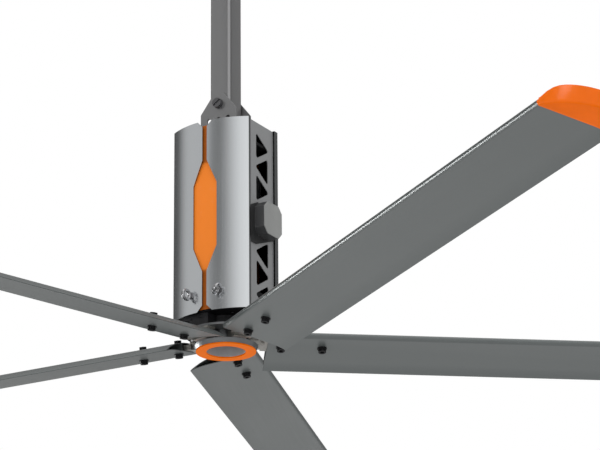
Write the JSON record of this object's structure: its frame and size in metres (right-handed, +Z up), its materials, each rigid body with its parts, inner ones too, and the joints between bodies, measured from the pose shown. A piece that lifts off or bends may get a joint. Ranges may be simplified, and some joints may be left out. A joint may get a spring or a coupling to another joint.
{
  "type": "large ceiling fan",
  "caption": "Large slow ceiling fan: pitched hollow blades with orange tip fins on a geared hub, under a slim silver drive housing that hangs on a square tube with a pivot at each end.",
  "frame": {"origin": "middle of the ceiling plate's top face", "axes": "+Z up, out of the ceiling plate into the ceiling; the housing's front faces -Y; +X to the side with the control box"},
  "size_m": [3.4926, 3.5838, 1.716],
  "materials": {
    "tube_steel": "satin grey paint",
    "pivot_bolt_black": "black oxide",
    "bronze": "plain bronze",
    "plate_steel": "dark paint",
    "black_plate": "black paint",
    "panel_grey": "satin",
    "cover_aluminium": "satin anodised",
    "orange_paint": "bright orange paint",
    "orange_plastic": "moulded, satin",
    "eye_chrome": "polished",
    "box_grey": "moulded dark grey",
    "lid_grey": "moulded grey",
    "board_green": "circuit board",
    "case_dark": "painted black casting",
    "case_grey": "as cast",
    "steel": "machined",
    "seal_rubber": "plain",
    "winding": "enamelled copper on steel laminations",
    "heatsink_aluminium": "extruded",
    "hub_grey": "machined",
    "screw_black": "black oxide",
    "zinc": "bright zinc",
    "strut_steel": "satin",
    "blade_grey": "satin anodised"
  },
  "bodies": {
    "ceiling_mount": {"ceiling_bracket": "tube_steel", "upper_pivot_bolt": "pivot_bolt_black"},
    "drop_tube": {"down_tube": "tube_steel", "pivot_sleeves": "bronze"},
    "drive_unit": {"hanger_plates": "tube_steel", "lower_pivot_bolt": "pivot_bolt_black", "crosshead": "plate_steel", "crosshead_bolts": "pivot_bolt_black", "top_plate": "plate_steel", "shelf_plate": "plate_steel", "lower_former": "plate_steel", "bottom_plate": "black_plate", "left_side_panel": "panel_grey", "right_side_panel": "panel_grey", "front_left_cover": "cover_aluminium", "front_right_cover": "cover_aluminium", "rear_left_cover": "cover_aluminium", "rear_right_cover": "cover_aluminium", "front_accent": "orange_paint", "rear_accent": "orange_paint", "guy_eyes": "eye_chrome", "control_box": "box_grey", "control_box_lid": "lid_grey", "control_board": "board_green", "gear_case": "case_dark", "bearing_web": "case_grey", "gear_case_upper": "case_grey", "motor_flange": "case_grey", "case_screws": "steel", "bearings": "steel", "output_seal": "seal_rubber", "motor_can": "case_dark", "motor_end_cap": "case_dark", "motor_tie_rods": "steel", "motor_stator": "winding", "inverter_case": "case_dark", "inverter_heatsink": "heatsink_aluminium"},
    "fan_rotor": {"output_shaft": "steel", "output_gear": "steel", "hub_body": "hub_grey", "trim_ring": "orange_paint", "upper_disc": "hub_grey", "hub_screws": "screw_black", "lug_bolts": "zinc", "struts": "strut_steel", "blade_bolts": "screw_black", "blade_1": "blade_grey", "blade_2": "blade_grey", "blade_3": "blade_grey", "blade_4": "blade_grey", "blade_5": "blade_grey", "winglet_1": "orange_plastic", "winglet_2": "orange_plastic", "winglet_3": "orange_plastic", "winglet_4": "orange_plastic", "winglet_5": "orange_plastic"},
    "counter_gear": {"countershaft": "steel", "counter_wheel": "steel"},
    "motor_rotor": {"motor_shaft": "steel", "motor_rotor_core": "steel"}
  },
  "joints": [
    {"name": "ceiling_pivot", "type": "hinge", "parent": "ceiling_mount", "child": "drop_tube", "pos_m": [0, 0, -0.08], "axis": [1, 0, 0], "range_deg": [-15, 15]},
    {"name": "hanger_pivot", "type": "hinge", "parent": "drop_tube", "child": "drive_unit", "pos_m": [0, 0, -1.008], "axis": [0, 1, 0], "range_deg": [-10, 10]},
    {"name": "fan_spin", "type": "hinge", "parent": "drive_unit", "child": "fan_rotor", "pos_m": [0, 0, -1.608], "axis": [0, 0, 1], "continuous": true},
    {"name": "counter_spin", "type": "hinge", "parent": "drive_unit", "child": "counter_gear", "pos_m": [-0.054, 0, -1.608], "axis": [0, 0, 1], "continuous": true},
    {"name": "motor_spin", "type": "hinge", "parent": "drive_unit", "child": "motor_rotor", "pos_m": [0, 0, -1.563], "axis": [0, 0, 1], "continuous": true}
  ],
  "couplings": [
    {"joint": "counter_spin", "follows": "fan_spin", "ratio": -2},
    {"joint": "motor_spin", "follows": "fan_spin", "ratio": 4}
  ]
}
